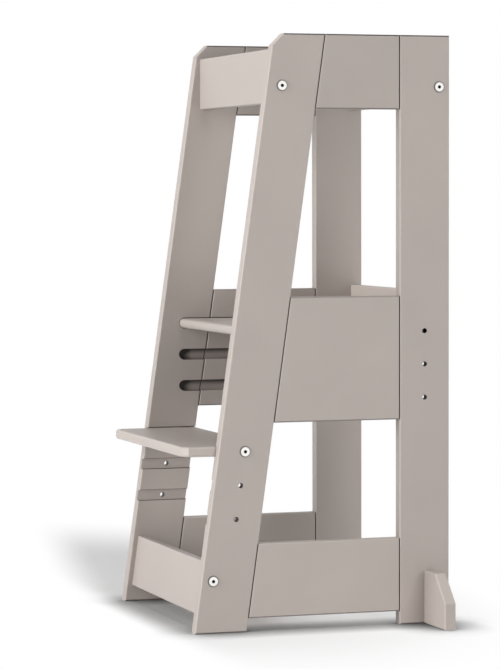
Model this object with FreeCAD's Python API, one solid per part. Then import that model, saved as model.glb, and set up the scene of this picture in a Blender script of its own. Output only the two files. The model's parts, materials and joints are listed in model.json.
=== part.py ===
import FreeCAD, Part
import math
import os

# Kitchen helper stool for a toddler, in millimetres.
# +X is the right-hand side seen from the front, -Y is the climbing side, +Z is up.
# The origin is on the floor, at the middle of the overall box.

V = FreeCAD.Vector

# Side frames
height = 885.0              # floor to the top of the side frames
width = 400.0               # over the outer faces of the two side frames
floor_depth = 403.0         # toe of the front legs to the back of the rear legs
lean_deg = 8.0              # the front legs lean back by this much
board = 18.0                # thickness of the frame boards
leg_width = 80.0            # both pairs of legs, square to their edges
top_panel_height = 111.0
middle_panel_height = 186.0
middle_panel_base = 309.5   # floor to the lower edge of the middle panels
bottom_panel_height = 111.0
bottom_panel_base = 20.0
corner_cut = 18.0           # 45 degree cut at the top front corner of the front legs
edge_round = 2.5            # round on the long edges of every board

# Rails
rail_width = 80.0
rail_thickness = 18.0
top_rail_drop = 22.0        # top of the frames down to the top rails
front_rail_setback = 128.3  # toe of the front legs to the face of the front top rail
rear_rail_inset = 8.0       # back of the rear legs to the back of the rear top rail
low_rail_base = 24.8        # floor to the lower edge of the front bottom rail
low_rail_inset = 9.0        # leaning front edge of the leg to the face of the bottom rail

# Step, platform and their slots
shelf = 15.0                # thickness of the step and of the platform
slot_height = 16.0
slot_depth = 6.0
slot_pitch = 50.0           # from one height setting to the next
slot_count = 3
slot_ease = 0.8             # bevel round the mouth of each slot
step_slot_floor = 260.5     # floor of the highest step slot
platform_slot_floor = 434.5  # floor of the highest platform slot
slot_reach = 310.5          # back of the rear legs to the round front end of a platform slot
step_overhang = 52.0        # step in front of the leg's edge, at the middle of its thickness
step_corner = 10.0          # cut at the two front corners of the step
step_round = 4.0            # round on all edges of the step
step_hole_inset = 41.2      # leaning front edge of the leg to the step's bolts, level
step_rear_proud = 2.0       # step behind the leg's back edge
end_gap = 0.5               # shelf end to slot floor, at each end
rest_gap = 0.3              # under the platform, so that it slides

# Back board of the platform
back_board_height = 80.0
back_board_inset = 1.0      # back of the rear legs to the back of the board
back_board_drop = 14.6      # underside of the platform down to the board's lower edge
back_screw_spacing = 120.0
back_screw_count = 3

# Anti-tip feet
foot_reach = 83.0
foot_height = 80.0
foot_cut = 40.0             # 45 degree cut at the upper outer corner
foot_setback = 22.0         # back of the rear legs to the back of a foot
foot_screw_height = 20.0    # floor to the lower screw
foot_screw_spacing = 36.0

# Connector bolts, barrel nuts and dowels
bolt_r = 2.95
bolt_bore_r = 3.5
bolt_length = 50.0          # under the head
head_r = 7.25
head_height = 2.0
head_bevel = 0.6
socket_flats = 4.0
socket_depth = 3.0
nut_r = 5.0
nut_length = 12.0
nut_past = 5.0              # bolt tip beyond the middle of the nut
top_bolt_rise = 25.0        # lower edge of a top rail to its bolt
low_bolt_drop = 25.6        # upper edge of the bottom rail to its bolt
bolt_to_dowel = 30.0
dowel_r = 4.0
rail_dowel_length = 30.0
rail_dowel_in_side = 11.0
panel_dowel_length = 40.0
panel_dowel_margin = 28.0   # edge of a top or bottom panel to its dowel
screw_r = 2.25
screw_head_r = 4.5
foot_screw_length = 45.0
back_screw_length = 50.0
fit_gap = 0.1               # round a dowel, nut or screw in its bore
thread_gap = 0.05           # round a bolt in its nut
bore_spare = 1.0            # a blind bore is deeper than what it holds
hidden_flats = 6            # sides of the dowels, nuts, shanks and bores that never show
screw_flats = 8             # sides of the screws and their countersinks
head_flats = 14             # sides of the flat bolt heads

# Worked out from the sizes above
lean = math.tan(math.radians(lean_deg))
along_leg = V(0, math.sin(math.radians(lean_deg)), math.cos(math.radians(lean_deg)))
across_leg = V(0, math.cos(math.radians(lean_deg)), -math.sin(math.radians(lean_deg)))
leg_run = leg_width / math.cos(math.radians(lean_deg))
x_out = width / 2
x_in = x_out - board
x_mid = x_out - board / 2
slot_x = x_in + slot_depth
shelf_x = slot_x - end_gap
step_z = step_slot_floor + shelf / 2
platform_floor = platform_slot_floor + rest_gap
platform_z = platform_floor + shelf / 2
overall_depth = max(floor_depth, floor_depth - lean * step_z + step_overhang)
rear_y = overall_depth / 2
toe_y = rear_y - floor_depth
rear_leg_y = rear_y - leg_width
nut_x = x_out - bolt_length + nut_past


def front_edge(z):
    return toe_y + lean * z


def leg_back(z):
    return front_edge(z) + leg_run


# Shapes that repeat

def bar(outline, x0, x1, rounded=True):
    """A board with this outline in the YZ plane, from x0 to x1, its long edges rounded."""
    solid = flat_face([V(x0, y, z) for y, z in outline]).extrude(V(x1 - x0, 0, 0))
    long_edges = [e for e in solid.Edges if abs(e.BoundBox.XLength) > abs(x1 - x0) / 2]
    return solid.makeFillet(edge_round, long_edges) if rounded else solid


def side_board(outline):
    """A board of the right-hand side frame, rounded round both faces."""
    solid = bar(outline, x_in, x_out, rounded=False)
    face_edges = [e for e in solid.Edges if e.BoundBox.XLength < board / 2]
    return solid.makeFillet(edge_round, face_edges)


def flat_face(corners):
    return Part.Face(Part.makePolygon(corners + corners[:1]))


def spindle(start, direction, stations, flats):
    """A turned piece with flats round it; each station is (distance from start, radius at corners)."""
    turn = FreeCAD.Rotation(V(0, 0, 1), direction)
    angles = [math.radians(360 / flats * k) for k in range(flats)]
    rings = [[start + turn.multVec(V(r * math.cos(a), r * math.sin(a), along)) for a in angles]
             for along, r in stations]
    faces = [flat_face(rings[0]), flat_face(rings[-1])]
    for near, far in zip(rings, rings[1:]):
        faces += [flat_face([near[k - 1], near[k], far[k], far[k - 1]]) for k in range(flats)]
    return Part.makeSolid(Part.makeShell(faces))


def rod(start, end, r, flats=hidden_flats):
    """A rod with flats, for the small pieces inside the boards and for their bores."""
    return spindle(start, end - start, [(0, r), ((end - start).Length, r)], flats)


def cross_bore(y, z, depth):
    """A round hole along X, going in from the outer face of the right-hand side frame."""
    return Part.makeCylinder(bolt_bore_r, depth + 1, V(x_out + 1, y, z), V(-1, 0, 0))


def slot_outline(x, front_y, floor_z, ease):
    """Round-ended slot outline, open at the back, grown by ease."""
    half = slot_height / 2 + ease
    mid_z = floor_z + slot_height / 2
    arc_y = front_y + slot_height / 2
    back_y = rear_y + leg_width
    low, high = V(x, arc_y, mid_z - half), V(x, arc_y, mid_z + half)
    low_back, high_back = V(x, back_y, mid_z - half), V(x, back_y, mid_z + half)
    nose = Part.Arc(low, V(x, arc_y - half, mid_z), high).toShape()
    lines = [Part.makeLine(high, high_back), Part.makeLine(high_back, low_back),
             Part.makeLine(low_back, low)]
    return Part.Wire([nose] + lines)


def slot_cutter(front_y, floor_z):
    """What the router takes out of the inner face, with its eased mouth."""
    straight = Part.Face(slot_outline(x_in - 1, front_y, floor_z, 0))
    mouth = [slot_outline(x_in - slot_ease, front_y, floor_z, 2 * slot_ease),
             slot_outline(x_in + slot_ease, front_y, floor_z, 0)]
    return straight.extrude(V(slot_depth + 1, 0, 0)).fuse(Part.makeLoft(mouth, True, True))


def connector_bolt(y, z):
    """Flat-headed bolt with a hex socket, its head on the outer face at the right."""
    outline = [(0, head_r), (head_height - head_bevel, head_r), (head_height, head_r - head_bevel)]
    head = spindle(V(x_out, y, z), V(1, 0, 0), outline, head_flats)
    shank = rod(V(x_out + head_height / 2, y, z), V(x_out - bolt_length, y, z), bolt_r)
    mouth = V(x_out + head_height, y, z)
    socket = rod(mouth + V(1, 0, 0), mouth - V(socket_depth, 0, 0), socket_flats / math.sqrt(3), 6)
    return head.fuse(shank).cut(socket)


def barrel_nut(y, z, direction):
    """Cross dowel round the bolt, lying along direction."""
    middle = V(nut_x, y, z)
    reach = direction * (nut_length / 2)
    body = rod(middle - reach, middle + reach, nut_r)
    return body.cut(rod(middle - V(nut_r + 1, 0, 0), middle + V(nut_r + 1, 0, 0), bolt_r + thread_gap))


def nut_bore(y, z, direction):
    """Blind bore for a barrel nut, open on the side that direction points to."""
    middle = V(nut_x, y, z)
    return rod(middle - direction * (nut_length / 2), middle + direction * rail_thickness, nut_r + fit_gap)


def bolt_bore(y, z):
    """Bore for a bolt, through a side frame and into the end of a rail or shelf."""
    return rod(V(x_out + 1, y, z), V(x_out - bolt_length - bore_spare, y, z), bolt_bore_r)


def screw(start, direction, length, gap=0):
    """Countersunk screw with its head at start, grown by gap."""
    outline = [(0, screw_head_r + gap), (screw_head_r - screw_r, screw_r + gap), (length, screw_r + gap)]
    return spindle(start, direction, outline, screw_flats)


def screw_bore(start, direction, length):
    """Pilot hole with a countersink, a little larger than the screw."""
    return screw(start, direction, length + bore_spare, fit_gap)


def mirrored(shape):
    return shape.mirror(V(0, 0, 0), V(1, 0, 0))


def both(shapes):
    """The right-hand pieces and their mirror images, as one group."""
    return Part.makeCompound(shapes + [mirrored(s) for s in shapes])


def cut_both(solid, cutter):
    """Cut a piece that spans the stool at both of its ends."""
    return solid.cut(cutter).cut(mirrored(cutter))


# Where the bolts and dowels are

rail_top = height - top_rail_drop
rail_base = rail_top - rail_width
front_rail_y = toe_y + front_rail_setback
front_rail_mid = front_rail_y + rail_thickness / 2
rear_rail_mid = rear_y - rear_rail_inset - rail_thickness / 2
top_bolt_z = rail_base + top_bolt_rise
top_dowel_z = top_bolt_z + bolt_to_dowel


def low_rail_point(down, inward):
    """A point of the leaning bottom rail: down its face from the top, and in from the face."""
    top_z = low_rail_base + rail_width * along_leg.z
    top = V(0, front_edge(top_z) + low_rail_inset, top_z)
    return top - along_leg * down + across_leg * inward


low_bolt = low_rail_point(low_bolt_drop, rail_thickness / 2)
low_dowel = low_rail_point(low_bolt_drop + bolt_to_dowel, rail_thickness / 2)
rail_dowel_spots = [(front_rail_mid, top_dowel_z), (rear_rail_mid, top_dowel_z),
                    (low_dowel.y, low_dowel.z)]

step_levels = [step_slot_floor - slot_pitch * k for k in range(slot_count)]
platform_levels = [platform_slot_floor - slot_pitch * k for k in range(slot_count)]
rear_hole_y = rear_y - leg_width / 2
step_bolt_y = front_edge(step_z) + step_hole_inset
slot_front_y = rear_y - slot_reach


def rail_dowel(y, z):
    return rod(V(x_in + rail_dowel_in_side, y, z),
               V(x_in + rail_dowel_in_side - rail_dowel_length, y, z), dowel_r)


def rail_dowel_bore(y, z):
    start = x_in + rail_dowel_in_side + bore_spare
    return rod(V(start, y, z), V(start - rail_dowel_length - 2 * bore_spare, y, z), dowel_r + fit_gap)


rail_dowels = [rail_dowel(y, z) for y, z in rail_dowel_spots]
rail_dowel_bores = [rail_dowel_bore(y, z) for y, z in rail_dowel_spots]


def panel_dowel(point, direction, r, spare):
    reach = direction * (panel_dowel_length / 2 + spare)
    return rod(point - reach, point + reach, r)


def panel_dowel_set(r, spare, heights):
    """Dowels of one panel: (those at the front leg, those at the rear leg)."""
    front = [panel_dowel(V(x_mid, leg_back(z), z), across_leg, r, spare) for z in heights]
    rear = [panel_dowel(V(x_mid, rear_leg_y, z), V(0, 1, 0), r, spare) for z in heights]
    return front, rear


top_panel_base = height - top_panel_height
panel_spans = {"top_panel": (top_panel_base, height),
               "middle_panel": (middle_panel_base, middle_panel_base + middle_panel_height),
               "bottom_panel": (bottom_panel_base, bottom_panel_base + bottom_panel_height)}
between_slots = slot_height / 2 - slot_pitch / 2
dowel_heights = {name: [low + panel_dowel_margin, high - panel_dowel_margin]
                 for name, (low, high) in panel_spans.items()}
dowel_heights["middle_panel"] = [z + between_slots for z in platform_levels[:-1]]


# Side frame, right hand

def platform_slots(solid):
    for level in platform_levels:
        solid = solid.cut(slot_cutter(slot_front_y, level))
    return solid


def front_leg():
    cut_z = height - corner_cut
    outline = [(front_edge(0), 0), (leg_back(0), 0), (leg_back(height), height),
               (front_edge(cut_z) + corner_cut, height), (front_edge(cut_z), cut_z)]
    solid = platform_slots(side_board(outline))
    for level in step_levels:
        solid = solid.cut(slot_cutter(toe_y - leg_width, level))
    for level in step_levels[1:]:
        hole_z = level + shelf / 2
        solid = solid.cut(cross_bore(front_edge(hole_z) + step_hole_inset, hole_z, board))
    for y, z in [(front_rail_mid, top_bolt_z), (low_bolt.y, low_bolt.z), (step_bolt_y, step_z)]:
        solid = solid.cut(bolt_bore(y, z))
    solid = solid.cut(rail_dowel_bores)
    for heights in dowel_heights.values():
        solid = solid.cut(panel_dowel_set(dowel_r + fit_gap, bore_spare, heights)[0])
    return solid


def rear_leg():
    outline = [(rear_leg_y, 0), (rear_y, 0), (rear_y, height), (rear_leg_y, height)]
    solid = platform_slots(side_board(outline))
    for level in platform_levels:
        solid = solid.cut(cross_bore(rear_hole_y, level + rest_gap + shelf / 2, board))
    solid = solid.cut(bolt_bore(rear_rail_mid, top_bolt_z))
    solid = solid.cut(rail_dowel_bores + foot_screw_set(screw_bore))
    for heights in dowel_heights.values():
        solid = solid.cut(panel_dowel_set(dowel_r + fit_gap, bore_spare, heights)[1])
    return solid


def side_panel(name):
    low, high = panel_spans[name]
    outline = [(leg_back(low), low), (rear_leg_y, low), (rear_leg_y, high), (leg_back(high), high)]
    solid = side_board(outline)
    if name == "middle_panel":
        solid = platform_slots(solid)
    front, rear = panel_dowel_set(dowel_r + fit_gap, bore_spare, dowel_heights[name])
    return solid.cut(front + rear)


# Anti-tip foot, right hand

foot_y = rear_y - foot_setback - board


def foot_screw_set(make):
    """Two screws or their bores, from the inner face of the rear leg into the foot."""
    heights = [foot_screw_height, foot_screw_height + foot_screw_spacing]
    return [make(V(x_in, foot_y + board / 2, z), V(1, 0, 0), foot_screw_length) for z in heights]


def anti_tip_foot():
    x_end = x_out + foot_reach
    outline = [(x_out, 0), (x_end, 0), (x_end, foot_height - foot_cut),
               (x_end - foot_cut, foot_height), (x_out, foot_height)]
    solid = flat_face([V(x, foot_y, z) for x, z in outline]).extrude(V(0, board, 0))
    rim = [e for e in solid.Edges
           if e.BoundBox.YLength < board / 2 and e.BoundBox.XMax > x_out + edge_round]
    return solid.makeFillet(edge_round, rim).cut(foot_screw_set(screw_bore))


# Rails, step and platform

def top_rail(face_y):
    outline = [(face_y, rail_base), (face_y + rail_thickness, rail_base),
               (face_y + rail_thickness, rail_top), (face_y, rail_top)]
    solid = bar(outline, -x_in, x_in)
    middle = face_y + rail_thickness / 2
    inward = V(0, 1, 0) if face_y < 0 else V(0, -1, 0)
    solid = cut_both(solid, bolt_bore(middle, top_bolt_z))
    solid = cut_both(solid, nut_bore(middle, top_bolt_z, inward))
    return cut_both(solid, rail_dowel_bore(middle, top_dowel_z))


def front_bottom_rail():
    corners = [low_rail_point(0, 0), low_rail_point(rail_width, 0),
               low_rail_point(rail_width, rail_thickness), low_rail_point(0, rail_thickness)]
    solid = bar([(c.y, c.z) for c in corners], -x_in, x_in)
    solid = cut_both(solid, bolt_bore(low_bolt.y, low_bolt.z))
    solid = cut_both(solid, nut_bore(low_bolt.y, low_bolt.z, across_leg))
    return cut_both(solid, rail_dowel_bore(low_dowel.y, low_dowel.z))


def step():
    front_y = front_edge(step_z) - step_overhang
    back_y = leg_back(step_z) + step_rear_proud
    plan = [(-shelf_x, back_y), (-shelf_x, front_y + step_corner), (step_corner - shelf_x, front_y),
            (shelf_x - step_corner, front_y), (shelf_x, front_y + step_corner), (shelf_x, back_y)]
    solid = flat_face([V(x, y, step_slot_floor) for x, y in plan]).extrude(V(0, 0, shelf))
    rim = [e for e in solid.Edges if e.BoundBox.ZLength < shelf / 2]
    solid = solid.makeFillet(step_round, rim)
    solid = cut_both(solid, bolt_bore(step_bolt_y, step_z))
    return cut_both(solid, nut_bore(step_bolt_y, step_z, V(0, 0, -1)))


platform_front = slot_front_y + slot_height / 2 - shelf / 2
back_board_y = rear_y - back_board_inset - board


def platform():
    nose_y = platform_front + shelf / 2
    low, high = V(-shelf_x, nose_y, platform_floor), V(-shelf_x, nose_y, platform_floor + shelf)
    nose = Part.Arc(low, V(-shelf_x, platform_front, platform_z), high).toShape()
    high_back, low_back = V(-shelf_x, back_board_y, high.z), V(-shelf_x, back_board_y, low.z)
    lines = [Part.makeLine(high, high_back), Part.makeLine(high_back, low_back),
             Part.makeLine(low_back, low)]
    solid = Part.Face(Part.Wire([nose] + lines)).extrude(V(2 * shelf_x, 0, 0))
    solid = cut_both(solid, bolt_bore(rear_hole_y, platform_z))
    solid = cut_both(solid, nut_bore(rear_hole_y, platform_z, V(0, 0, -1)))
    return solid.cut(back_screw_set(screw_bore))


def back_board():
    low = platform_floor - back_board_drop
    high = low + back_board_height
    outline = [(back_board_y, low), (back_board_y + board, low),
               (back_board_y + board, high), (back_board_y, high)]
    x_end = x_in - end_gap
    return bar(outline, -x_end, x_end).cut(back_screw_set(screw_bore))


def back_screw_set(make):
    """Screws or their bores, from the back of the board into the platform's edge."""
    first = -back_screw_spacing * (back_screw_count - 1) / 2
    places = [first + back_screw_spacing * k for k in range(back_screw_count)]
    return [make(V(x, back_board_y + board, platform_z), V(0, -1, 0), back_screw_length) for x in places]


# Every node and its shape

pieces = {}
for side, place in (("right", lambda s: s), ("left", mirrored)):
    pieces["front_leg_" + side] = place(front_leg())
    pieces["rear_leg_" + side] = place(rear_leg())
    pieces["anti_tip_foot_" + side] = place(anti_tip_foot())
    dowels = []
    for name, heights in dowel_heights.items():
        pieces[name + "_" + side] = place(side_panel(name))
        front_set, rear_set = panel_dowel_set(dowel_r, 0, heights)
        dowels += [place(d) for d in front_set + rear_set]
    pieces["panel_dowels_" + side] = Part.makeCompound(dowels)

pieces["front_top_rail"] = top_rail(front_rail_y)
pieces["rear_top_rail"] = top_rail(rear_rail_mid - rail_thickness / 2)
pieces["front_bottom_rail"] = front_bottom_rail()
pieces["step"] = step()
pieces["platform"] = platform()
pieces["back_board"] = back_board()

bolted = {"front_top": (front_rail_mid, top_bolt_z, V(0, 1, 0)),
          "rear_top": (rear_rail_mid, top_bolt_z, V(0, 1, 0)),
          "front_bottom": (low_bolt.y, low_bolt.z, across_leg),
          "step": (step_bolt_y, step_z, V(0, 0, 1))}
for name, (y, z, direction) in bolted.items():
    pieces[name + "_bolts"] = both([connector_bolt(y, z)])
    pieces[name + "_nuts"] = both([barrel_nut(y, z, direction)])
pieces["platform_nuts"] = both([barrel_nut(rear_hole_y, platform_z, V(0, 0, 1))])
pieces["rail_dowels"] = both(rail_dowels)
pieces["foot_screws"] = both(foot_screw_set(screw))
pieces["back_board_screws"] = Part.makeCompound(back_screw_set(screw))

os.makedirs("parts", exist_ok=True)
for name, shape in pieces.items():
    shape.exportStep("parts/" + name + ".step")
    solids = shape.Solids
    box = shape.BoundBox
    print("%-22s %2d solids %9.1f cm3  x %7.1f %7.1f  y %7.1f %7.1f  z %6.1f %6.1f  %s" % (
        name, len(solids), sum(s.Volume for s in solids) / 1000,
        box.XMin, box.XMax, box.YMin, box.YMax, box.ZMin, box.ZMax, shape.isValid()))
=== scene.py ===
# %% [markdown]
# A kitchen helper stool for a toddler: two painted side frames, a step, a platform that slides out
# at the back, and the rails, bolts and dowels that hold them together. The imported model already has
# every board at its real size, so this notebook does four things: it sets the camera, the floor and
# the light, paints the boards, models the metal and wooden hardware in full, and checks the sizes.
# Lengths are in metres. +X is the side frame nearer to the camera, -Y the climbing side, +Z up.

# %% Load the frame
import json
import math
import bmesh
import bpy
import numpy as np
from mathutils import Matrix, Vector

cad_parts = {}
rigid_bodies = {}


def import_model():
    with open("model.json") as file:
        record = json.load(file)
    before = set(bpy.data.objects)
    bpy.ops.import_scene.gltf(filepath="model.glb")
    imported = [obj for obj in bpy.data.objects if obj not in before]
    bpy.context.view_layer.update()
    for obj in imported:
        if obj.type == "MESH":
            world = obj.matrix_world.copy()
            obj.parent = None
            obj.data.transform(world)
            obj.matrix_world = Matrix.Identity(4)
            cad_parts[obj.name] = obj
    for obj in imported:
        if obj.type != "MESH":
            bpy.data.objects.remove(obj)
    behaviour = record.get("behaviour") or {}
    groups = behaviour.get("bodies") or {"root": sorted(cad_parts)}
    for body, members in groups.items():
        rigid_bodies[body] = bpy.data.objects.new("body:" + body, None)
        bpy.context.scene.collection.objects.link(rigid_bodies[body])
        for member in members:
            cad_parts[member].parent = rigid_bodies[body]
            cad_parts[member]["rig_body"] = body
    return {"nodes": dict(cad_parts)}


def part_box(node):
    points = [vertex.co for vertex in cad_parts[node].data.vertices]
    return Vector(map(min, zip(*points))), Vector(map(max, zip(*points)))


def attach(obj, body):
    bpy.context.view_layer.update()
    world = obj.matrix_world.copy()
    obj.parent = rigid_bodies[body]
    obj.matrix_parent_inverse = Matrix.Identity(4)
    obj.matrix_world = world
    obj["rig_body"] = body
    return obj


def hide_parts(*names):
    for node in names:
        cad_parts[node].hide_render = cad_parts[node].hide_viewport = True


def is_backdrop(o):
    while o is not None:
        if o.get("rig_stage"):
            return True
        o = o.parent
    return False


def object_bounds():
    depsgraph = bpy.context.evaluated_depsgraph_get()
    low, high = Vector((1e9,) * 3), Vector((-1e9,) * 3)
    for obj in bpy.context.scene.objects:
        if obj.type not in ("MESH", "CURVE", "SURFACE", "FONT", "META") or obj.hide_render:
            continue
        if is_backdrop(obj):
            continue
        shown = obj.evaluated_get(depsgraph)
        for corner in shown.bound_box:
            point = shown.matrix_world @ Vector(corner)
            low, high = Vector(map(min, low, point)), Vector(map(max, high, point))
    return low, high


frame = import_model()
cad_box = [list(corner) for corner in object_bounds()]
MM = 0.001
print("CAD box in mm", [[round(v / MM, 1) for v in corner] for corner in cad_box])

# %% [markdown]
# ## Camera
# The edges of the side frames barely converge, so the camera stands over four metres away behind a
# long lens, a little above the middle of the stool. Its place, axes and lens were fitted to the
# edges of the boards in the photo. A camera has three axes of its own: right, up, and back towards
# the viewer. Its matrix is those three axes as columns, then its place. Two axes are enough, because
# the third is their cross product.

# %% Camera
PHOTO_WIDTH = 500
FOCAL_PIXELS = 2970.4
SENSOR = 36.0
CAMERA_PLACE = (4.36181, -1.46230, 0.64744)
CAMERA_RIGHT = Vector((0.309662, 0.950844, -0.002177))
CAMERA_UP = Vector((-0.044097, 0.016648, 0.998889))

camera_data = bpy.data.cameras.new("camera")
camera_data.sensor_fit = "HORIZONTAL"
camera_data.sensor_width = SENSOR
camera_data.lens = SENSOR * FOCAL_PIXELS / PHOTO_WIDTH
camera = bpy.data.objects.new("camera", camera_data)
bpy.context.scene.collection.objects.link(camera)
bpy.context.scene.camera = camera
axes = Matrix((CAMERA_RIGHT, CAMERA_UP, CAMERA_RIGHT.cross(CAMERA_UP))).transposed()
camera.matrix_world = Matrix.Translation(CAMERA_PLACE) @ axes.to_4x4()
print("lens", round(camera_data.lens, 1), "mm, distance", round(Vector(CAMERA_PLACE).length, 2), "m")

# %% [markdown]
# ## Shader arithmetic
# A node tree is a formula, so it is easiest to read as one. `Signal` wraps an output socket, and the
# ordinary operators on it add Math nodes. `Nodes` is the tree of a material or of the world: `node`
# makes any other node from its type, its settings and the values or signals of its sockets.

# %% Signals
class Signal:
    """The output of a node, which can stand in a sum or a product."""

    def __init__(self, nodes, socket):
        self.nodes = nodes
        self.socket = socket

    def math(self, operation, first, second=0.0):
        return self.nodes.node("ShaderNodeMath", {"operation": operation}, {0: first, 1: second})

    def __add__(self, other):
        return self.math("ADD", self, other)

    def __sub__(self, other):
        return self.math("SUBTRACT", self, other)

    def __mul__(self, other):
        return self.math("MULTIPLY", self, other)

    def __pow__(self, other):
        return self.math("POWER", self, other)

    def __radd__(self, other):
        return self.math("ADD", other, self)

    def __rsub__(self, other):
        return self.math("SUBTRACT", other, self)

    def __rmul__(self, other):
        return self.math("MULTIPLY", other, self)

    def root(self):
        return self.math("SQRT", self)

    def size(self):
        return self.math("ABSOLUTE", self)

    def sine(self):
        return self.math("SINE", self)

    def step(self, low, high):
        """0 below low, 1 above high, and a smooth rise between them."""
        return self.nodes.node("ShaderNodeMapRange", {"interpolation_type": "SMOOTHSTEP"},
                               {"Value": self, "From Min": low, "From Max": high})


print("signals take + - * and **, root, size, sine and step")

# %% Node trees
class Nodes:
    """The node tree of a material or of the world."""

    def __init__(self, owner, shader):
        owner.use_nodes = True
        self.owner = owner
        self.tree = owner.node_tree
        self.shader = self.tree.nodes[shader]

    def node(self, kind, settings, sockets, output=0):
        """Add a node, and give back one output as a signal, or several as a list."""
        made = self.tree.nodes.new(kind)
        for name, value in settings.items():
            setattr(made, name, value)
        for key, value in sockets.items():
            self.set(made.inputs[key], value)
        if isinstance(output, (list, tuple)):
            return [Signal(self, made.outputs[key]) for key in output]
        return Signal(self, made.outputs[output])

    def set(self, socket, value):
        if isinstance(value, Signal):
            self.tree.links.new(value.socket, socket)
        else:
            socket.default_value = value

    def feed(self, socket, value):
        self.set(self.shader.inputs[socket], value)

    def place(self):
        """Where a point is in the stool's frame, in metres."""
        return self.node("ShaderNodeTexCoord", {}, {}, "Object")

    def stored(self, name):
        """A vector that a piece carries in an attribute of its mesh."""
        return self.node("ShaderNodeAttribute", {"attribute_name": name}, {}, "Vector")

    def parts(self, vector):
        return self.node("ShaderNodeSeparateXYZ", {}, {0: vector}, ("X", "Y", "Z"))

    def stretched(self, vector, scale):
        return self.node("ShaderNodeVectorMath", {"operation": "MULTIPLY"}, {0: vector, 1: scale})

    def noise(self, vector, size, detail=2.0, roughness=0.5):
        """Soft noise about 0.5, with blotches of about this size in metres."""
        return self.node("ShaderNodeTexNoise", {}, {"Vector": vector, "Scale": 1 / size,
                                                    "Detail": detail, "Roughness": roughness})

    def mix(self, factor, first, second):
        """From the first colour to the second as the factor goes from 0 to 1."""
        return self.node("ShaderNodeMix", {"data_type": "RGBA"},
                         {"Factor": factor, 6: first, 7: second}, 2)

    def relief(self, height, depth):
        """Bump of this depth in metres, from a height between 0 and 1."""
        self.feed("Normal", self.node("ShaderNodeBump", {}, {"Height": height, "Distance": depth}))


def finish(name, **constants):
    """A new material on the Principled shader, with these sockets set to fixed values."""
    made = Nodes(bpy.data.materials.new(name), "Principled BSDF")
    for socket, value in constants.items():
        made.feed(socket.replace("_", " "), value)
    return made


def grey(level):
    return (level, level, level, 1.0)


def opaque(colour, tone=1.0):
    return tuple(part * tone for part in colour) + (1.0,)


print("node trees can be written as formulas")

# %% [markdown]
# ## Paint
# The boards have a satin taupe coat, rolled or sprayed over a filler. Up close such a coat is never
# quite even: it has a fine stipple and a slow drift of tone over a hand's breadth. A rounded edge is
# painted a little lighter, as a painted highlight. An edge can be found from the normal alone: on a
# flat face one component is 1, so the fourth powers add up to 1, and on a round they add up to less.
# Each kind of board gets its own small change of tone, because the boards are painted one by one
# before they are joined, and that keeps the joints easy to see. The tones also carry painted light:
# the step and the back board are painted lighter, and the top panels darker, than their light leaves
# them.
#
# Some places are painted darker, as shade. The hair line where a panel meets a leg is a groove that
# holds a shadow, and that shadow is painted in. The level rounds of the side frames are painted dark
# on top and underneath: painted shade where little light falls. The walls of the drilled holes are
# bare board, painted nearly black as the shade in them. The routed slots get painted shade, darkest
# under their upper edge and in their round nose, and round each bolt head lies a ring of painted
# shadow. The places are measured on the imported boards and bolts, so they need few numbers of their
# own. A side frame lies in the plane of y and z, so each place is a small formula in the coordinates
# of a point.

# %% Where the joints, holes and slots are
HOLE_PITCH = 0.050
SLOT_HEIGHT = 0.016
PLATFORM_PLAY = 0.0005
PANELS = ("bottom_panel", "middle_panel", "top_panel")


def axis_of(node):
    """Where the axis of a bolt, or the middle of a board, lies in y and z."""
    low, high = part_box(node)
    return (low[1] + high[1]) / 2, (low[2] + high[2]) / 2


panel_heights = [(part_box(panel + "_right")[0][2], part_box(panel + "_right")[1][2]) for panel in PANELS]
foot_of_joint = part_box("bottom_panel_right")[0]
head_of_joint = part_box("top_panel_right")[0]
LEAN = (head_of_joint[1] - foot_of_joint[1]) / (head_of_joint[2] - foot_of_joint[2])
FRONT_JOINT = foot_of_joint[1] - LEAN * foot_of_joint[2]
REAR_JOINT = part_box("rear_leg_right")[0][1]

step_y, step_z = axis_of("step_bolts")
rear_y, platform_z = axis_of("rear_leg_right")[0], axis_of("platform")[1]
HOLES = {"front_leg": [(step_y - LEAN * HOLE_PITCH * k, step_z - HOLE_PITCH * k) for k in (1, 2)],
         "rear_leg": [(rear_y, platform_z - HOLE_PITCH * k) for k in (0, 1, 2)]}
HEADS = {"front_leg": [axis_of(n) for n in ("front_top_bolts", "front_bottom_bolts", "step_bolts")],
         "rear_leg": [axis_of("rear_top_bolts")]}
INNER_FACE, OUTER_FACE = (corner[0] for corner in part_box("front_leg_right"))
platform_front, platform_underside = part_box("platform")[0][1:]
SLOT_NOSE = platform_front - PLATFORM_PLAY
slot_floors = [platform_underside - HOLE_PITCH * k for k in (0, 1, 2)]
print("the legs lean", round(math.degrees(math.atan(LEAN)), 2), "degrees, joints at",
      round(FRONT_JOINT / MM, 2), round(REAR_JOINT / MM, 2), "mm, platform hole at",
      [round(v / MM, 1) for v in HOLES["rear_leg"][0]])

# %% Darker places
HAIR_LINE = (0.5 * MM, 1.2 * MM)
MARK_FADE = 0.3 * MM
SLOT_END = 0.200
FLOOR_SHADE = 0.25
CEILING_SHADE = 0.75
NOSE_SHADE = 0.9


def near(distance, full, none):
    """1 where a distance is under `full`, 0 where it is over `none`."""
    return 1.0 - distance.step(full, none)


def at_joints(y, z):
    """1 on the hair lines between the legs and the panels of a side frame."""
    from_front = (y - z * LEAN - FRONT_JOINT).size()
    from_rear = (y - REAR_JOINT).size()
    lines = near(from_front, *HAIR_LINE) + near(from_rear, *HAIR_LINE)
    beside = sum(z.step(low, low + MM) * near(z, high - MM, high) for low, high in panel_heights)
    return lines * beside


def round_marks(y, z, centres, radius):
    """1 inside circles of this radius about these points."""
    marks = 0.0
    for centre_y, centre_z in centres:
        across, up = y - centre_y, z - centre_z
        marks = marks + near((across * across + up * up).root(), radius, radius + MARK_FADE)
    return marks


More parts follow.
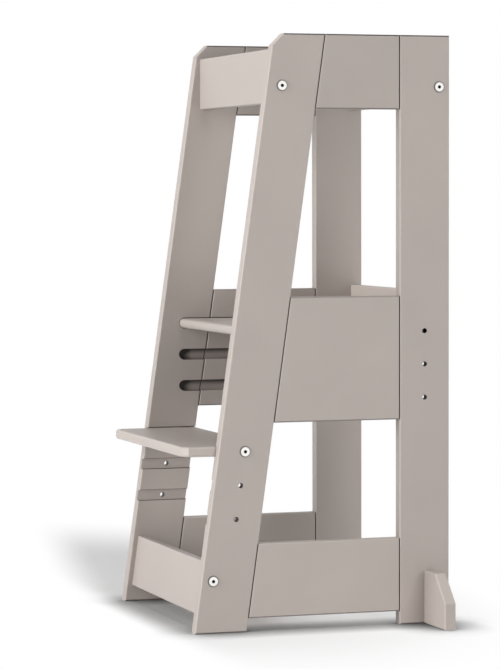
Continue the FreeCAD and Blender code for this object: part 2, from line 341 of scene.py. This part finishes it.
def in_slots(x, y, z):
    """How deep the shade is in the platform's slots. Over 1, in the nose, a mix takes it as 1."""
    from_middle = x.size()
    in_wall = from_middle.step(INNER_FACE + MM / 4, INNER_FACE + MM)
    in_wall = in_wall * near(from_middle, OUTER_FACE - 2 * MM, OUTER_FACE - MM)
    in_length = y.step(SLOT_NOSE - 2 * MM, SLOT_NOSE - MM) * near(y, SLOT_END, SLOT_END + 4 * MM)
    nose = near(y, SLOT_NOSE + 3 * MM, SLOT_NOSE + 24 * MM)
    shade = 0.0
    for bottom in slot_floors:
        ceiling = bottom + SLOT_HEIGHT
        level = z.step(bottom - 2 * MM, bottom - MM) * near(z, ceiling + MM, ceiling + 2 * MM)
        upward = z.step(bottom + 6 * MM, ceiling + MM)
        shade = shade + level * (FLOOR_SHADE + CEILING_SHADE * upward + NOSE_SHADE * nose)
    return in_wall * in_length * shade


print("slots start at", round(SLOT_NOSE / MM, 1), "mm and have their floors at",
      [round(v / MM, 1) for v in slot_floors], "mm")

# %% Paint
PAINT = (0.425, 0.377, 0.349)
PAINT_DRIFT = 0.06
EDGE_HIGHLIGHT = (0.55, 0.50, 0.46)
ROUND_SHADE = (0.040, 0.035, 0.032)
LINE_SHADE = (0.060, 0.050, 0.044)
HOLLOW_SHADE = (0.020, 0.015, 0.012)
HIGHLIGHT_SHARE = 0.4
UNDER_SHARE = 0.6
RING_SHADOW_SHARE = 0.6
TOP_SHADE_SHARE = {"front_leg": 1.0, "rear_leg": 1.0, "top_panel": 1.0, "middle_panel": 0.4,
             "bottom_panel": 0.0}
ROUND_OVER = (0.10, 0.45)
TURNED = (0.05, 0.20)
LEVEL = (0.05, 0.30)
BORE_R = 0.0037
RING_SHADOW_R = 0.0085
PAINT_ROUGHNESS = 0.42
DRIFT_ROUGHNESS = 0.10
EDGE_POLISH = 0.08
DRIFT_SIZE = 0.11
STIPPLE_SIZE = 0.0016
STIPPLE_DEPTH = 0.00003


def paint(board, tone):
    """The coat of one kind of board."""
    coat = finish("paint_" + board, IOR=1.46)
    drift = coat.noise(coat.place(), DRIFT_SIZE, detail=3.0)
    stipple = coat.noise(coat.place(), STIPPLE_SIZE, detail=3.0, roughness=0.6)
    x, y, z = coat.parts(coat.node("ShaderNodeTexCoord", {}, {}, "Normal"))
    roundness = 1.0 - (x ** 4.0 + y ** 4.0 + z ** 4.0)
    over_edge = roundness.step(*ROUND_OVER)
    level_edge = roundness.step(*TURNED) * near(y.size(), *LEVEL)
    on_top = level_edge * z.step(*TURNED)
    underneath = level_edge * (0.0 - z).step(*TURNED)
    colour = coat.mix(drift, opaque(PAINT, tone * (1 - PAINT_DRIFT)),
                      opaque(PAINT, tone * (1 + PAINT_DRIFT)))
    # Rounded edges are painted lighter: a painted highlight.
    colour = coat.mix(over_edge * HIGHLIGHT_SHARE, colour, opaque(EDGE_HIGHLIGHT))
    x, y, z = coat.parts(coat.place())
    if board in HOLES or board in PANELS:
        # The level rounds on top and underneath are painted dark: painted shade where little light falls.
        round_shade = on_top * TOP_SHADE_SHARE[board] + underneath * UNDER_SHARE
        colour = coat.mix(round_shade, colour, opaque(ROUND_SHADE))
        # Painted shade in the platform's slots.
        colour = coat.mix(in_slots(x, y, z), colour, opaque(HOLLOW_SHADE))
        # The hair lines at the joints are painted dark: the painted shadow in their groove.
        colour = coat.mix(at_joints(y, z), colour, opaque(LINE_SHADE))
    if board in HOLES:
        # A ring of painted shadow round each bolt head.
        ring_shadow = round_marks(y, z, HEADS[board], RING_SHADOW_R) * RING_SHADOW_SHARE
        bored = round_marks(y, z, HOLES[board], BORE_R)
        colour = coat.mix(ring_shadow, colour, opaque(LINE_SHADE))
        # The bore walls are bare board, painted nearly black and made metallic so that they show no
        # sheen: painted shade in the holes.
        colour = coat.mix(bored, colour, opaque(HOLLOW_SHADE))
        coat.feed("Metallic", bored)
    coat.feed("Base Color", colour)
    coat.feed("Roughness", PAINT_ROUGHNESS + drift * DRIFT_ROUGHNESS - over_edge * EDGE_POLISH)
    coat.relief(stipple, STIPPLE_DEPTH)
    return coat.owner


# Each board's tone is partly painted light: the step and the back board are painted lighter, and the top
# panels darker, than their light leaves them.
TONES_AND_LIGHT = {"front_leg": 0.99, "rear_leg": 0.98, "top_panel": 0.94, "middle_panel": 1.0,
         "bottom_panel": 1.03, "anti_tip_foot": 1.01, "front_top_rail": 0.98, "rear_top_rail": 1.0,
         "front_bottom_rail": 1.03, "step": 1.07, "platform": 1.0, "back_board": 1.09}

for board, tone in TONES_AND_LIGHT.items():
    coat = paint(board, tone)
    names = (board, board + "_left", board + "_right")
    same = [frame["nodes"][name] for name in names if name in frame["nodes"]]
    for node in same:
        node.data.materials.clear()
        node.data.materials.append(coat)
    print(board, "painted,", len(same), "of them")

# %% [markdown]
# ## Metals and beech
# The connector bolts are nickel plated: bright and slightly warm, turned on a lathe, so their faces
# carry fine rings. The bevelled rim is painted darker, a painted reflection of the board round it,
# and the socket is painted nearly black, as painted shade. The nuts and screws are zinc plated,
# colder and more mottled. The dowels are bare beech, with fibres along them. All three patterns
# belong to the piece and not to the room, so each mesh will carry its own coordinates, with Z along
# the piece, in an attribute called `own`.

# %% Nickel
OWN = "own"
HEAD_R = 0.00725
HEAD_HEIGHT = 0.002
RING_PITCH = 0.0004
RING_DEPTH = 0.000002
SOCKET_SEEN = (0.0024, 0.0026)
RIM_SEEN = (HEAD_R - 0.0007, HEAD_R - 0.0003)
NICKEL = ((0.93, 0.915, 0.88), (0.97, 0.96, 0.94))
NICKEL_ROUGHNESS = 0.24
HANDLING_SIZE, HANDLING_ROUGHNESS = 0.004, 0.08
RIM_REFLECTION = 0.35
SOCKET_SHADE, SOCKET_ROUGHNESS = 0.02, 0.4

nickel = finish("nickel_plate", Metallic=1.0)
x, y, height = nickel.parts(nickel.stored(OWN))
radius = (x * x + y * y).root()
rings = (radius * (2 * math.pi / RING_PITCH)).sine() * 0.5 + 0.5
handling = nickel.noise(nickel.stored(OWN), HANDLING_SIZE, detail=3.0)
in_socket = near(radius, *SOCKET_SEEN) * height.step(-HEAD_HEIGHT, -HEAD_HEIGHT / 2)
plate = nickel.mix(handling, opaque(NICKEL[0]), opaque(NICKEL[1]))
# The bevelled rim is painted darker: a painted reflection of the board round it.
plate = nickel.mix(radius.step(*RIM_SEEN), plate, grey(RIM_REFLECTION))
# The socket is painted nearly black: painted shade in the hollow.
nickel.feed("Base Color", nickel.mix(in_socket, plate, grey(SOCKET_SHADE)))
worn = NICKEL_ROUGHNESS + handling * HANDLING_ROUGHNESS
nickel.feed("Roughness", worn + in_socket * SOCKET_ROUGHNESS)
nickel.relief(rings, RING_DEPTH)
print("nickel has rings", round(RING_PITCH / MM, 2), "mm apart")

# %% Zinc
ZINC = ((0.66, 0.68, 0.70), (0.80, 0.81, 0.82))
ZINC_ROUGHNESS = 0.30
SPANGLE_SIZE, SPANGLE_ROUGHNESS = 0.0012, 0.15
ZINC_GRAIN = 0.0006
ZINC_DEPTH = 0.000004

zinc = finish("zinc_plate", Metallic=1.0)
cells = zinc.node("ShaderNodeTexVoronoi", {"feature": "F1"},
                  {"Vector": zinc.stored(OWN), "Scale": 1 / SPANGLE_SIZE}, "Color")
spangle = zinc.parts(cells)[0]
zinc.feed("Base Color", zinc.mix(spangle, opaque(ZINC[0]), opaque(ZINC[1])))
zinc.feed("Roughness", ZINC_ROUGHNESS + spangle * SPANGLE_ROUGHNESS)
zinc.relief(zinc.noise(zinc.stored(OWN), ZINC_GRAIN), ZINC_DEPTH)
print("zinc has spangles", round(SPANGLE_SIZE / MM, 2), "mm across")

# %% Beech
BEECH = ((0.60, 0.40, 0.24), (0.74, 0.54, 0.35))
FLECK = (0.42, 0.25, 0.13)
FLECK_SHARE = 0.6
FLECK_SEEN = (0.62, 0.70)
FIBRE_SIZE, FIBRE_STRETCH = 0.0005, (1, 1, 0.06)
FLECK_SIZE, FLECK_STRETCH = 0.0011, (1, 1, 0.15)
FIBRE_DEPTH = 0.00003

beech = finish("bare_beech", Roughness=0.75, IOR=1.5)
own = beech.stored(OWN)
fibres = beech.noise(beech.stretched(own, FIBRE_STRETCH), FIBRE_SIZE, detail=3.0)
flecks = beech.noise(beech.stretched(own, FLECK_STRETCH), FLECK_SIZE, detail=1.0)
flecks = flecks.step(*FLECK_SEEN)
wood = beech.mix(fibres, opaque(BEECH[0]), opaque(BEECH[1]))
beech.feed("Base Color", beech.mix(flecks * FLECK_SHARE, wood, opaque(FLECK)))
beech.relief(fibres, FIBRE_DEPTH)
print("beech has fibres", round(FIBRE_SIZE / MM, 2), "mm thick")

# %% [markdown]
# ## Modelling tools
# Every new piece starts as a primitive at its real size, standing on the origin with Z along it. An
# operator acts on everything that is selected, so the first job is always to deselect the boards.
# `pick` then selects points, edges or faces by where they are, as a hand with a mouse would.

# %% Modelling tools
RIM_SHARE = 0.98


def begin(add, **settings):
    """Add one primitive, alone in the selection, with its scale applied."""
    if bpy.context.object and bpy.context.object.mode == "EDIT":
        bpy.ops.object.mode_set(mode="OBJECT")
    bpy.ops.object.select_all(action="DESELECT")
    add(**settings)
    bpy.ops.object.transform_apply(location=True, rotation=True, scale=True)
    return bpy.context.object


def pick(kind, test):
    """In edit mode, select the points, edges or faces whose middle passes the test."""
    bpy.ops.mesh.select_mode(type=kind)
    bpy.ops.mesh.select_all(action="DESELECT")
    mesh = bmesh.from_edit_mesh(bpy.context.object.data)
    items = {"VERT": mesh.verts, "EDGE": mesh.edges, "FACE": mesh.faces}[kind]
    for item in items:
        points = [item] if kind == "VERT" else item.verts
        middle = sum((point.co for point in points), Vector()) / len(points)
        if test(middle):
            item.select_set(True)
    bmesh.update_edit_mesh(bpy.context.object.data)


def rod(radius, bottom, top, sides=64):
    """A plain round bar along Z, the start of most of the hardware."""
    return begin(bpy.ops.mesh.primitive_cylinder_add, vertices=sides, radius=radius,
                 depth=top - bottom, location=(0, 0, (top + bottom) / 2))


def soften(radius, at, width, segments=2):
    """Bevel the round edge of the active piece at this radius and this height."""
    bpy.ops.object.mode_set(mode="EDIT")
    pick("EDGE", lambda p: abs(p.z - at) < width / 4 and p.xy.length > RIM_SHARE * radius)
    bpy.ops.mesh.bevel(offset=width, segments=segments, affect="EDGES")
    bpy.ops.object.mode_set(mode="OBJECT")


def combine(piece, other, operation):
    """Cut the other piece away, or weld it on, and delete it."""
    bpy.ops.object.select_all(action="DESELECT")
    bpy.context.view_layer.objects.active = piece
    piece.select_set(True)
    change = piece.modifiers.new("combine", "BOOLEAN")
    change.operation = operation
    change.solver = "EXACT"
    change.object = other
    bpy.ops.object.modifier_apply(modifier=change.name)
    bpy.data.objects.remove(other)
    return piece


print("modelling tools are ready")

# %% [markdown]
# ## Screw threads
# A thread is one small tooth that climbs a helix. The tooth is drawn for a single pitch, as a line
# of four points: a plane is merged to one point, which is then extruded three times. The Screw
# modifier turns that line as often as the thread is long. It leaves two ragged ends, so the tube is
# made two turns too long, and a flat cut with Fill closes each end.

# %% A threaded rod
TURN_STEPS = 24
MERGE = 1e-6


def threaded_rod(core, crest, pitch, bottom, top, land=0.12):
    """A thread with this core and crest radius; land is the flat on a crest, in pitches."""
    thread = begin(bpy.ops.mesh.primitive_plane_add, size=0.001, location=(core, 0, bottom - pitch))
    bpy.ops.object.mode_set(mode="EDIT")
    bpy.ops.mesh.select_mode(type="VERT")
    bpy.ops.mesh.merge(type="CENTER")
    rise = pitch * (1 - land) / 2
    for step in ((crest - core, 0, rise), (0, 0, pitch * land), (core - crest, 0, rise)):
        bpy.ops.mesh.extrude_region_move(TRANSFORM_OT_translate={"value": step})
    bpy.ops.object.mode_set(mode="OBJECT")
    screw = thread.modifiers.new("screw", "SCREW")
    screw.axis = "Z"
    screw.steps = screw.render_steps = TURN_STEPS
    screw.screw_offset = pitch
    screw.iterations = math.ceil((top - bottom) / pitch) + 2
    screw.use_merge_vertices = True
    screw.merge_threshold = MERGE
    bpy.ops.object.modifier_apply(modifier=screw.name)
    bpy.ops.object.mode_set(mode="EDIT")
    bpy.ops.mesh.select_all(action="SELECT")
    bpy.ops.mesh.remove_doubles(threshold=MERGE)
    for height, upper in ((bottom, False), (top, True)):
        bpy.ops.mesh.select_all(action="SELECT")
        bpy.ops.mesh.bisect(plane_co=(0, 0, height), plane_no=(0, 0, 1), use_fill=True,
                            clear_inner=not upper, clear_outer=upper, threshold=MERGE)
    bpy.ops.mesh.select_all(action="SELECT")
    bpy.ops.mesh.normals_make_consistent(inside=False)
    bpy.ops.object.mode_set(mode="OBJECT")
    return thread


print("a turn of thread has", TURN_STEPS, "steps")

# %% [markdown]
# ## Connector bolt
# The flat bright discs on the side frames are the heads of furniture connector bolts: 14.5 mm across
# and 2 mm thick, with a bevelled rim, a hexagon socket, and a 6 mm thread that meets a barrel nut
# inside the rail or the step. The head is a short rod with a bevel, the socket is cut by a six-sided
# rod, and the shank and its thread are welded on, so that the bolt is one closed solid.

# %% Connector bolt
HEAD_BEVEL = 0.0006
HEX_FLATS = 0.004
SOCKET_DEPTH = 0.003
SHANK_R = 0.00295
SHANK_SIDES = 48
THREAD_CREST = 0.0029
THREAD_CORE = 0.0024
THREAD_PITCH = 0.001
THREAD_LENGTH = 0.030
BOLT_LENGTH = 0.050
OVERLAP = 0.0005

bolt = rod(HEAD_R, 0, HEAD_HEIGHT)
soften(HEAD_R, HEAD_HEIGHT, HEAD_BEVEL, segments=3)
thread_top = THREAD_LENGTH - BOLT_LENGTH
combine(bolt, rod(SHANK_R, thread_top, OVERLAP, SHANK_SIDES), "UNION")
thread = threaded_rod(THREAD_CORE, THREAD_CREST, THREAD_PITCH, -BOLT_LENGTH, thread_top + OVERLAP)
combine(bolt, thread, "UNION")
key = rod(HEX_FLATS / math.sqrt(3), HEAD_HEIGHT - SOCKET_DEPTH, HEAD_HEIGHT + OVERLAP, sides=6)
combine(bolt, key, "DIFFERENCE")
print("bolt has", len(bolt.data.polygons), "faces")

# %% [markdown]
# ## Barrel nut
# A barrel nut is a cross dowel of steel: a short rod with eased rims, a threaded hole through its
# side, and a slot in one end that shows which way the hole points. The thread in the hole is cut
# with a slightly larger copy of the bolt's own thread.

# %% Barrel nut
NUT_R = 0.005
NUT_LENGTH = 0.012
NUT_BEVEL = 0.0004
THREAD_PLAY = 0.0001
TAP_REACH = 1.2 * NUT_R
SLOT_WIDTH = 0.0012
SLOT_DEPTH = 0.0014

nut = rod(NUT_R, -NUT_LENGTH / 2, NUT_LENGTH / 2)
for end in (-1, 1):
    soften(NUT_R, end * NUT_LENGTH / 2, NUT_BEVEL)
tap = threaded_rod(THREAD_CORE + THREAD_PLAY, THREAD_CREST + THREAD_PLAY, THREAD_PITCH,
                   -TAP_REACH, TAP_REACH)
tap.data.transform(Matrix.Rotation(math.pi / 2, 4, "Y"))
combine(nut, tap, "DIFFERENCE")
saw = begin(bpy.ops.mesh.primitive_cube_add, size=1, location=(0, 0, NUT_LENGTH / 2),
            scale=(3 * NUT_R, SLOT_WIDTH, 2 * SLOT_DEPTH))
combine(nut, saw, "DIFFERENCE")
print("barrel nut has", len(nut.data.polygons), "faces")

# %% [markdown]
# ## Countersunk screws
# The anti-tip feet and the back board are held by ordinary countersunk wood screws with a cross
# recess. The head is a cone: a short rod whose lower end is scaled down to the shank. The upper third
# is a plain shank and the rest is thread, whose last few millimetres are drawn in towards the axis
# for the point. Two tapered blades, one across the other, cut the recess.

# %% Countersunk screw
SCREW_HEAD_R = 0.0045
SCREW_R = 0.00225
SCREW_CORE = 0.0015
SCREW_PITCH = 0.0022
SCREW_LAND = 0.04
CREST_SHARE = 0.98
SHANK_SHARE = 1.15
POINT_LENGTH = 0.007
POINT_TIP = 0.06
RECESS_WIDTH = 0.0011
RECESS_SPAN = 5 * RECESS_WIDTH
RECESS_DEPTH = 0.0024
BLADE_TAPER = 0.55


def countersunk_screw(length):
    """A screw with its head at the origin, pointing down."""
    sink = SCREW_HEAD_R - SCREW_R
    shank_end = -length / 3
    screw = rod(SCREW_HEAD_R, -sink, 0, sides=48)
    bpy.ops.object.mode_set(mode="EDIT")
    pick("VERT", lambda p: p.z < -sink / 2)
    bpy.ops.transform.resize(value=(SCREW_R / SCREW_HEAD_R, SCREW_R / SCREW_HEAD_R, 1))
    bpy.ops.object.mode_set(mode="OBJECT")
    combine(screw, rod(SCREW_CORE * SHANK_SHARE, shank_end, -sink / 2, sides=32), "UNION")
    thread = threaded_rod(SCREW_CORE, SCREW_R * CREST_SHARE, SCREW_PITCH, -length,
                          shank_end + OVERLAP, SCREW_LAND)
    for point in thread.data.vertices:
        taper = min(1.0, POINT_TIP + (point.co.z + length) / POINT_LENGTH)
        point.co.xy = point.co.xy * taper
    combine(screw, thread, "UNION")
    for across in ((RECESS_SPAN, RECESS_WIDTH), (RECESS_WIDTH, RECESS_SPAN)):
        blade = begin(bpy.ops.mesh.primitive_cube_add, size=1, scale=(*across, 2 * RECESS_DEPTH))
        bpy.ops.object.mode_set(mode="EDIT")
        pick("VERT", lambda p: p.z < 0)
        bpy.ops.transform.resize(value=(BLADE_TAPER, BLADE_TAPER, 1))
        bpy.ops.object.mode_set(mode="OBJECT")
        combine(screw, blade, "DIFFERENCE")
    return screw


FOOT_SCREW_LENGTH = 0.045
BACK_SCREW_LENGTH = 0.050
foot_screw = countersunk_screw(FOOT_SCREW_LENGTH)
back_screw = countersunk_screw(BACK_SCREW_LENGTH)
print("foot screw has", len(foot_screw.data.polygons), "faces")

# %% [markdown]
# ## Fluted dowels
# Beech dowels have flutes along them, so that glue and air can get out of the blind hole, and a
# chamfer at each end. A rod with many sides is enough to start: every fourth point is drawn in for a
# flute, and each end face is extruded a little and scaled down for the chamfer.

# %% Fluted dowel
DOWEL_R = 0.004
DOWEL_SIDES = 96
FLUTE_EVERY = 4
FLUTE_SHARE = 0.93
CHAMFER = 0.0012
CHAMFER_SHARE = 0.75


def fluted_dowel(length):
    """A dowel with its middle at the origin."""
    dowel = rod(DOWEL_R, CHAMFER - length / 2, length / 2 - CHAMFER, DOWEL_SIDES)
    flute = 2 * math.pi * FLUTE_EVERY / DOWEL_SIDES
    bpy.ops.object.mode_set(mode="EDIT")
    pick("VERT", lambda p: abs(math.remainder(math.atan2(p.y, p.x), flute)) < 0.1 * flute)
    bpy.ops.transform.resize(value=(FLUTE_SHARE, FLUTE_SHARE, 1))
    for end in (-1, 1):
        pick("FACE", lambda p: p.z * end > length / 2 - 1.5 * CHAMFER)
        bpy.ops.mesh.extrude_region_move(TRANSFORM_OT_translate={"value": (0, 0, end * CHAMFER)})
        bpy.ops.transform.resize(value=(CHAMFER_SHARE, CHAMFER_SHARE, 1))
    bpy.ops.object.mode_set(mode="OBJECT")
    return dowel


RAIL_DOWEL_LENGTH = 0.030
PANEL_DOWEL_LENGTH = 0.040
rail_dowel = fluted_dowel(RAIL_DOWEL_LENGTH)
panel_dowel = fluted_dowel(PANEL_DOWEL_LENGTH)
print("dowel has", len(rail_dowel.data.polygons), "faces")

# %% [markdown]
# ## Putting the hardware in its places
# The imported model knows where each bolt, nut, screw and dowel belongs: it has a plain solid there.
# So the places are read from those solids. A node's mesh is a set of loose triangles, and a merged
# copy of it falls apart into one island per solid. An island's middle gives the place, and the
# direction in which its points spread most gives the axis. Each copy keeps its own coordinates in
# an attribute before it is moved, and then rides on the body of the node that it replaces.

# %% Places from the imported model
def islands(node):
    """The points of each separate solid in a node."""
    mesh = bmesh.new()
    mesh.from_mesh(frame["nodes"][node].data)
    bmesh.ops.remove_doubles(mesh, verts=mesh.verts, dist=MERGE)
    left = set(mesh.verts)
    found = []
    while left:
        reached = [left.pop()]
        points = []
        while reached:
            point = reached.pop()
            points.append(point.co[:])
            joined = {edge.other_vert(point) for edge in point.link_edges} & left
            left -= joined
            reached += joined
        found.append(np.array(points))
    mesh.free()
    return sorted(found, key=lambda p: tuple(p.mean(0).round(4)))


print("step_bolts falls apart into", len(islands("step_bolts")), "solids")


# %% How a piece stands in an island
def seat(points, along):
    """The middle of an island, a turn whose Z is its axis, and its reach along that axis.

    `along` is where Z points: outward or inward from the middle of the stool, or back. A barrel
    nut is nearly as wide as it is long, so with "across" its axis is only looked for across X.
    """
    low, high = points.min(0), points.max(0)
    spread = points - points.mean(0)
    if along == "across":
        spread[:, 0] = 0
    axis = Vector(np.linalg.svd(spread)[2][0]).normalized()
    middle = Vector((low + high) / 2)
    outward = axis.x * middle.x
    backward = axis.y + axis.z
    wrong_way = {"outward": outward < 0, "inward": outward > 0,
                 "back": backward < 0, "across": backward < 0}
    if wrong_way[along]:
        axis.negate()
    side = Vector((1, 0, 0)) if abs(axis.x) < 0.5 else Vector((0, 1, 0))
    third = axis.cross(side).normalized()
    turn = Matrix((third.cross(axis), third, axis)).transposed()
    reach = max((Vector(p) - middle).dot(axis) for p in points)
    return middle, turn, reach


middle, turn, reach = seat(islands("step_bolts")[-1], "outward")
print("the right step bolt's axis is", [round(v, 3) for v in turn.col[2]])


# %% Fit the hardware
def fit(model, material, nodes, along, top=None):
    """Copy a model into every island of these nodes, and count the copies.

    `top` is how high the model's own end is, for a model that has to end where its island ends.
    Without it the middles meet.
    """
    count = 0
    for node in nodes:
        for number, points in enumerate(islands(node), 1):
            middle, turn, reach = seat(points, along)
            mesh = model.data.copy()
            own = mesh.attributes.new(OWN, "FLOAT_VECTOR", "POINT")
            for place, vertex in zip(own.data, mesh.vertices):
                place.vector = vertex.co
            start = middle if top is None else middle + turn.col[2] * (reach - top)
            mesh.transform(Matrix.Translation(start) @ turn.to_4x4())
            mesh.materials.clear()
            mesh.materials.append(material)
            piece = bpy.data.objects.new(f"{node.rstrip('s')}_{number}", mesh)
            bpy.context.scene.collection.objects.link(piece)
            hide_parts(node)
            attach(piece, frame["nodes"][node]["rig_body"])
            count += 1
    bpy.data.objects.remove(model)
    return count


SHARP_EDGE = math.radians(30)
for model in (bolt, nut, foot_screw, back_screw, rail_dowel, panel_dowel):
    bpy.ops.object.select_all(action="DESELECT")
    bpy.context.view_layer.objects.active = model
    model.select_set(True)
    bpy.ops.object.shade_smooth_by_angle(angle=SHARP_EDGE)

JOINTS = ("front_top", "rear_top", "front_bottom", "step")
bolt_nodes = [joint + "_bolts" for joint in JOINTS]
nut_nodes = [joint + "_nuts" for joint in JOINTS + ("platform",)]
bolts = fit(bolt, nickel.owner, bolt_nodes, "outward", HEAD_HEIGHT)
nuts = fit(nut, zinc.owner, nut_nodes, "across")
screws = fit(foot_screw, zinc.owner, ["foot_screws"], "inward", 0)
screws += fit(back_screw, zinc.owner, ["back_board_screws"], "back", 0)
dowels = fit(rail_dowel, beech.owner, ["rail_dowels"], "outward")
dowels += fit(panel_dowel, beech.owner,
              ["panel_dowels_left", "panel_dowels_right"], "back")
print(bolts, "bolts,", nuts, "nuts,", screws, "screws,", dowels, "dowels")

# %% [markdown]
# ## Floor
# The stool stands on a plain floor in a white studio. The floor is white all round, with one soft
# shadow to the far side and a dark line where a leg meets it. So its shader has two parts. In a pool
# about the shadow it is matt, and the lights shade it. Outside the pool it glows white, and melts
# into the studio. The pool is an ellipse that is cut off in front, straight at the stool and aslant
# at the far side. In both parts an Ambient Occlusion node darkens the colour within 70 mm of a board,
# which paints the contact shadow. A real floor has no pool, so only the camera and the polished metal
# see it. Every soft bounce of light meets a plain matt floor, and the boards are lit evenly.

# %% What looks at a point
def looked_at(nodes):
    """1 for the camera and for reflections, and 0 for soft bounces of light."""
    camera_ray, glossy_ray = nodes.node("ShaderNodeLightPath", {}, {},
                                        ("Is Camera Ray", "Is Glossy Ray"))
    return nodes.node("ShaderNodeMath", {"operation": "MAXIMUM"}, {0: camera_ray, 1: glossy_ray})


print("the stage can tell a look from a bounce")

# %% The pool of shadow
POOL_MIDDLE = (-0.35, -0.10)
POOL_HALF = (1.05, 0.52)
POOL_CORE = 0.35
POOL_FRONT = -0.19
FRONT_FADE = 0.06
SLANT = 0.19
SLANTED_FRONT = -0.28
SLANT_FADE = 0.05


def outside_pool(x, y):
    """0 in the pool of shadow and 1 outside it, for a point on the floor."""
    slanted = y + x * SLANT
    behind = y.step(POOL_FRONT - FRONT_FADE, POOL_FRONT)
    behind = behind * slanted.step(SLANTED_FRONT - SLANT_FADE, SLANTED_FRONT + SLANT_FADE)
    across = (x - POOL_MIDDLE[0]) * (1 / POOL_HALF[0])
    along = (y - POOL_MIDDLE[1]) * (1 / POOL_HALF[1])
    around = (across * across + along * along).root().step(POOL_CORE, 1.0)
    return 1.0 - behind * (1.0 - around)


print("the floor shows shadows within", POOL_HALF, "m of", POOL_MIDDLE)

# %% Floor
FLOOR_SPAN = 60
FLOOR_ALBEDO = 0.92
FLOOR_SEEN = 0.91
CONTACT_REACH = 0.07
CONTACT_SAMPLES = 8
CONTACT_POWER = 2.0

pale = finish("pale_floor", Roughness=1.0, Specular_IOR_Level=0.0)
x, y, z = pale.parts(pale.place())
# The floor's colour and its glow are darkened near the boards: a painted contact shadow.
openness = pale.node("ShaderNodeAmbientOcclusion", {"samples": CONTACT_SAMPLES},
                     {"Distance": CONTACT_REACH}, "AO") ** CONTACT_POWER
seen = pale.mix(openness, grey(0.0), grey(FLOOR_SEEN))
pale.feed("Base Color", pale.mix(looked_at(pale), grey(FLOOR_ALBEDO), seen))
matt = Signal(pale, pale.shader.outputs[0])
glow = pale.node("ShaderNodeEmission", {}, {"Color": pale.mix(openness, grey(0.0), grey(1.0))})
blend = pale.node("ShaderNodeMixShader", {}, {0: outside_pool(x, y) * looked_at(pale), 1: matt, 2: glow})
pale.set(pale.tree.nodes["Material Output"].inputs["Surface"], blend)

bpy.ops.object.select_all(action="DESELECT")
bpy.ops.mesh.primitive_plane_add(size=FLOOR_SPAN, location=(0, 0, 0))
floor = bpy.context.object
floor.name = "floor"
floor.data.materials.append(pale.owner)
floor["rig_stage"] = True
print("floor is", FLOOR_SPAN, "m wide")

# %% [markdown]
# ## World
# The world is the white studio round the stool. The camera and the polished metal see it at full
# strength, and soft bounces of light get a twentieth of that, so that the shadows between the boards
# stay deep and the soft boxes do the lighting.

# %% World
WORLD_BOUNCE = 0.05
world = bpy.data.worlds.new("world")
bpy.context.scene.world = world
studio = Nodes(world, "Background")
studio.feed("Color", grey(1.0))
studio.feed("Strength", looked_at(studio) * (1.0 - WORLD_BOUNCE) + WORLD_BOUNCE)
print("soft bounces get", WORLD_BOUNCE, "of the white world")

# %% [markdown]
# ## Light
# The front faces are the brightest, the near side is an even mid tone, the tops are a little darker,
# and a soft shadow lies on the floor to the far side. Five soft boxes give that: a tall one in
# front, a low one at the near side that comes in through the windows of the side frame and reaches
# the far one, one high at the near side that throws the floor shadow, one high behind the stool,
# and one that keeps its far back corner from going dark. Each is placed by its bearing from the
# climbing side and by its height, both in degrees. They don't show in reflections, so that the
# polished bolt heads mirror only the white studio. The Standard view shows the colours as they are,
# without a film curve over them.

# %% Soft boxes
LOOK_AT = Vector((0, 0, 0.45))


def soft_box(name, bearing, height, distance, size, power):
    """A rectangular light that looks at the stool; the bearing turns from -Y towards +X."""
    data = bpy.data.lights.new(name, "AREA")
    data.shape = "RECTANGLE"
    data.size, data.size_y = size
    data.energy = power
    lamp = bpy.data.objects.new(name, data)
    lamp.visible_glossy = False
    bpy.context.scene.collection.objects.link(lamp)
    turn, rise = math.radians(bearing), math.radians(height)
    level = math.cos(rise)
    away = Vector((math.sin(turn) * level, -math.cos(turn) * level, math.sin(rise)))
    lamp.location = LOOK_AT + away * distance
    lamp.rotation_euler = away.to_track_quat("Z", "Y").to_euler()
    print(name, "at", [round(v, 2) for v in lamp.location])


soft_box("front_box", bearing=9, height=18, distance=3.3, size=(1.6, 2.6), power=121)
soft_box("low_box", bearing=104, height=2, distance=3.6, size=(1.2, 1.1), power=48)
soft_box("high_box", bearing=90, height=50, distance=3.2, size=(1.6, 1.6), power=21)
soft_box("back_box", bearing=180, height=42, distance=3.4, size=(1.8, 1.8), power=24)
soft_box("corner_box", bearing=232, height=12, distance=3.4, size=(1.8, 1.4), power=36)
bpy.context.scene.view_settings.view_transform = "Standard"

# %% [markdown]
# ## Sizes
# The looks must not change the object's size, so the box round everything is measured once more and
# kept next to the box of the imported model.

# %% Sizes
visual_box = [list(corner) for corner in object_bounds()]
moved = [round((now - then) / MM, 2) for corner, packed in zip(visual_box, cad_box)
         for now, then in zip(corner, packed)]
print("the looks move the box by", moved, "mm")
